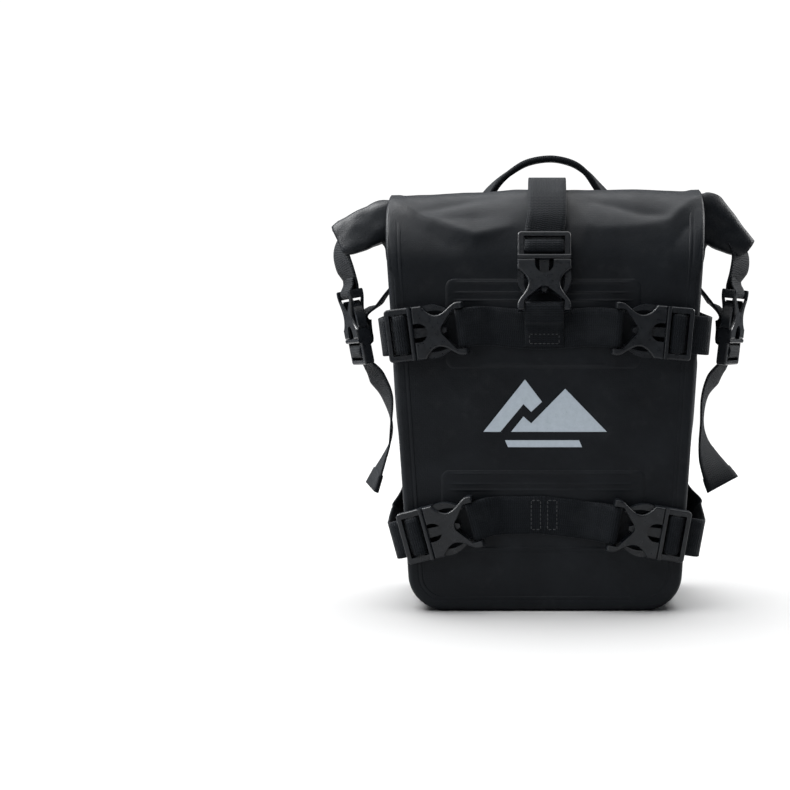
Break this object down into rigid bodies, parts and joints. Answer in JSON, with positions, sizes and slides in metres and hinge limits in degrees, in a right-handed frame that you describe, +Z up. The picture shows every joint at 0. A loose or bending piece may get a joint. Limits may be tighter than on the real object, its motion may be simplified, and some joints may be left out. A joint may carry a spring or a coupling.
{
  "type": "roll-top tail bag",
  "caption": "Roll-top dry bag for a motorcycle's tail, with belts round its body that close with side-release buckles, a strap over the roll and a carry loop.",
  "frame": {"origin": "centre of the base's underside", "axes": "+Z up, the front with the emblem faces -Y, +X is the right-hand side seen from the front"},
  "size_m": [0.29, 0.1147, 0.3003],
  "materials": {
    "coated_fabric": "satin",
    "webbing": "matte",
    "buckle_nylon": "satin",
    "board": "matte",
    "reflective_print": "satin"
  },
  "bodies": {
    "bag": {"front_panel": "coated_fabric", "back_panel": "coated_fabric", "side_gusset": "coated_fabric", "roll_neck": "coated_fabric", "roll_top": "coated_fabric", "roll_stiffener": "board", "base_board": "board", "upper_front_patch": "coated_fabric", "lower_front_patch": "coated_fabric", "front_emblem": "reflective_print", "back_keepers": "webbing", "handle_feet": "webbing", "upper_front_webbing": "webbing", "lower_front_webbing": "webbing", "top_socket_webbing": "webbing", "top_strap": "webbing", "upper_belt": "webbing", "lower_belt": "webbing", "left_roll_webbing": "webbing", "right_roll_webbing": "webbing", "left_side_anchor": "webbing", "right_side_anchor": "webbing", "top_socket": "buckle_nylon", "upper_left_socket": "buckle_nylon", "upper_right_socket": "buckle_nylon", "lower_left_socket": "buckle_nylon", "lower_right_socket": "buckle_nylon", "side_left_socket": "buckle_nylon", "side_right_socket": "buckle_nylon"},
    "top_latch": {"top_tongue": "buckle_nylon", "top_strap_end": "webbing"},
    "top_upper_arm_body": {"top_upper_arm": "buckle_nylon"},
    "top_lower_arm_body": {"top_lower_arm": "buckle_nylon"},
    "upper_left_latch": {"upper_left_tongue": "buckle_nylon", "upper_left_belt_end": "webbing"},
    "upper_left_upper_arm_body": {"upper_left_upper_arm": "buckle_nylon"},
    "upper_left_lower_arm_body": {"upper_left_lower_arm": "buckle_nylon"},
    "upper_right_latch": {"upper_right_tongue": "buckle_nylon", "upper_right_belt_end": "webbing"},
    "upper_right_upper_arm_body": {"upper_right_upper_arm": "buckle_nylon"},
    "upper_right_lower_arm_body": {"upper_right_lower_arm": "buckle_nylon"},
    "lower_left_latch": {"lower_left_tongue": "buckle_nylon", "lower_left_belt_end": "webbing"},
    "lower_left_upper_arm_body": {"lower_left_upper_arm": "buckle_nylon"},
    "lower_left_lower_arm_body": {"lower_left_lower_arm": "buckle_nylon"},
    "lower_right_latch": {"lower_right_tongue": "buckle_nylon", "lower_right_belt_end": "webbing"},
    "lower_right_upper_arm_body": {"lower_right_upper_arm": "buckle_nylon"},
    "lower_right_lower_arm_body": {"lower_right_lower_arm": "buckle_nylon"},
    "side_left_latch": {"side_left_tongue": "buckle_nylon", "left_adjuster_webbing": "webbing"},
    "side_left_upper_arm_body": {"side_left_upper_arm": "buckle_nylon"},
    "side_left_lower_arm_body": {"side_left_lower_arm": "buckle_nylon"},
    "side_right_latch": {"side_right_tongue": "buckle_nylon", "right_adjuster_webbing": "webbing"},
    "side_right_upper_arm_body": {"side_right_upper_arm": "buckle_nylon"},
    "side_right_lower_arm_body": {"side_right_lower_arm": "buckle_nylon"},
    "carry_loop": {"handle": "webbing"},
    "left_hanging_tail": {"left_tail": "webbing"},
    "right_hanging_tail": {"right_tail": "webbing"}
  },
  "joints": [
    {"name": "top_release", "type": "slide", "parent": "bag", "child": "top_latch", "axis": [0, 0.2079, 0.9781], "range_m": [0, 0.028], "deforming": ["top_upper_arm", "top_lower_arm"]},
    {"name": "top_upper_squeeze", "type": "hinge", "parent": "top_latch", "child": "top_upper_arm_body", "pos_m": [0.011, -0.05329, 0.22998], "axis": [0, 0.9781, -0.2079], "range_deg": [0, 13.5], "stiffness_Nm_per_rad": 0.1},
    {"name": "top_lower_squeeze", "type": "hinge", "parent": "top_latch", "child": "top_lower_arm_body", "pos_m": [-0.012, -0.05329, 0.22998], "axis": [0, -0.9781, 0.2079], "range_deg": [0, 13.5], "stiffness_Nm_per_rad": 0.1},
    {"name": "upper_left_release", "type": "slide", "parent": "bag", "child": "upper_left_latch", "axis": [-0.9901, 0.0698, -0.1219], "range_m": [0, 0.028], "deforming": ["upper_left_upper_arm", "upper_left_lower_arm"]},
    {"name": "upper_left_upper_squeeze", "type": "hinge", "parent": "upper_left_latch", "child": "upper_left_upper_arm_body", "pos_m": [-0.08589, -0.05233, 0.19329], "axis": [0.0703, 0.9975, 0.0001], "range_deg": [0, 13.5], "stiffness_Nm_per_rad": 0.1},
    {"name": "upper_left_lower_squeeze", "type": "hinge", "parent": "upper_left_latch", "child": "upper_left_lower_arm_body", "pos_m": [-0.08309, -0.05253, 0.17046], "axis": [-0.0703, -0.9975, -0.0001], "range_deg": [0, 13.5], "stiffness_Nm_per_rad": 0.1},
    {"name": "upper_right_release", "type": "slide", "parent": "bag", "child": "upper_right_latch", "axis": [0.9937, 0.0698, -0.0872], "range_m": [0, 0.028], "deforming": ["upper_right_upper_arm", "upper_right_lower_arm"]},
    {"name": "upper_right_upper_squeeze", "type": "hinge", "parent": "upper_right_latch", "child": "upper_right_upper_arm_body", "pos_m": [0.07649, -0.0525, 0.17116], "axis": [-0.07, 0.9975, 0], "range_deg": [0, 13.5], "stiffness_Nm_per_rad": 0.1},
    {"name": "upper_right_lower_squeeze", "type": "hinge", "parent": "upper_right_latch", "child": "upper_right_lower_arm_body", "pos_m": [0.07849, -0.05236, 0.19407], "axis": [0.07, -0.9975, 0], "range_deg": [0, 13.5], "stiffness_Nm_per_rad": 0.1},
    {"name": "lower_left_release", "type": "slide", "parent": "bag", "child": "lower_left_latch", "axis": [-0.9634, 0.0697, -0.2588], "range_m": [0, 0.028], "deforming": ["lower_left_upper_arm", "lower_left_lower_arm"]},
    {"name": "lower_left_upper_squeeze", "type": "hinge", "parent": "lower_left_latch", "child": "lower_left_upper_arm_body", "pos_m": [-0.07893, -0.05222, 0.06385], "axis": [0.072, 0.9974, 0.0006], "range_deg": [0, 13.5], "stiffness_Nm_per_rad": 0.1},
    {"name": "lower_left_lower_squeeze", "type": "hinge", "parent": "lower_left_latch", "child": "lower_left_lower_arm_body", "pos_m": [-0.073, -0.05264, 0.04163], "axis": [-0.072, -0.9974, -0.0006], "range_deg": [0, 13.5], "stiffness_Nm_per_rad": 0.1},
    {"name": "lower_right_release", "type": "slide", "parent": "bag", "child": "lower_right_latch", "axis": [0.9823, 0.0698, -0.1736], "range_m": [0, 0.028], "deforming": ["lower_right_upper_arm", "lower_right_lower_arm"]},
    {"name": "lower_right_upper_squeeze", "type": "hinge", "parent": "lower_right_latch", "child": "lower_right_upper_arm_body", "pos_m": [0.07349, -0.05257, 0.0415], "axis": [-0.0708, 0.9975, 0.0002], "range_deg": [0, 13.5], "stiffness_Nm_per_rad": 0.1},
    {"name": "lower_right_lower_squeeze", "type": "hinge", "parent": "lower_right_latch", "child": "lower_right_lower_arm_body", "pos_m": [0.07747, -0.05229, 0.06415], "axis": [0.0708, -0.9975, -0.0002], "range_deg": [0, 13.5], "stiffness_Nm_per_rad": 0.1},
    {"name": "side_left_release", "type": "slide", "parent": "bag", "child": "side_left_latch", "axis": [0.184, 0, -0.9829], "range_m": [0, 0.028], "deforming": ["side_left_upper_arm", "side_left_lower_arm"]},
    {"name": "side_left_upper_squeeze", "type": "hinge", "parent": "side_left_latch", "child": "side_left_upper_arm_body", "pos_m": [-0.13061, 0.01664, 0.17441], "axis": [0.9091, 0.3802, 0.1701], "range_deg": [0, 13.5], "stiffness_Nm_per_rad": 0.1},
    {"name": "side_left_lower_squeeze", "type": "hinge", "parent": "side_left_latch", "child": "side_left_lower_arm_body", "pos_m": [-0.12202, -0.00464, 0.17602], "axis": [-0.9091, -0.3802, -0.1701], "range_deg": [0, 13.5], "stiffness_Nm_per_rad": 0.1},
    {"name": "side_right_release", "type": "slide", "parent": "bag", "child": "side_right_latch", "axis": [-0.1045, 0, -0.9945], "range_m": [0, 0.028], "deforming": ["side_right_upper_arm", "side_right_lower_arm"]},
    {"name": "side_right_upper_squeeze", "type": "hinge", "parent": "side_right_latch", "child": "side_right_upper_arm_body", "pos_m": [0.12109, -0.00465, 0.17566], "axis": [-0.9214, 0.3764, 0.0968], "range_deg": [0, 13.5], "stiffness_Nm_per_rad": 0.1},
    {"name": "side_right_lower_squeeze", "type": "hinge", "parent": "side_right_latch", "child": "side_right_lower_arm_body", "pos_m": [0.1297, 0.01665, 0.17475], "axis": [0.9214, -0.3764, -0.0968], "range_deg": [0, 13.5], "stiffness_Nm_per_rad": 0.1},
    {"name": "handle_fold", "type": "hinge", "parent": "bag", "child": "carry_loop", "pos_m": [0, 0.0376, 0.2385], "axis": [1, 0, 0], "range_deg": [-100, 5]},
    {"name": "left_tail_swing", "type": "hinge", "parent": "side_left_latch", "child": "left_hanging_tail", "pos_m": [-0.12109, 0.00705, 0.16114], "axis": [-0.3737, 0.9249, -0.0699], "range_deg": [0, 22], "stiffness_Nm_per_rad": 0.02},
    {"name": "right_tail_swing", "type": "hinge", "parent": "side_right_latch", "child": "right_hanging_tail", "pos_m": [0.12132, 0.00703, 0.16075], "axis": [-0.3743, -0.9265, 0.0393], "range_deg": [0, 22], "stiffness_Nm_per_rad": 0.02}
  ],
  "couplings": [
    {"joint": "top_lower_squeeze", "follows": "top_upper_squeeze", "ratio": 1},
    {"joint": "upper_left_lower_squeeze", "follows": "upper_left_upper_squeeze", "ratio": 1},
    {"joint": "upper_right_lower_squeeze", "follows": "upper_right_upper_squeeze", "ratio": 1},
    {"joint": "lower_left_lower_squeeze", "follows": "lower_left_upper_squeeze", "ratio": 1},
    {"joint": "lower_right_lower_squeeze", "follows": "lower_right_upper_squeeze", "ratio": 1},
    {"joint": "side_left_lower_squeeze", "follows": "side_left_upper_squeeze", "ratio": 1},
    {"joint": "side_right_lower_squeeze", "follows": "side_right_upper_squeeze", "ratio": 1}
  ]
}
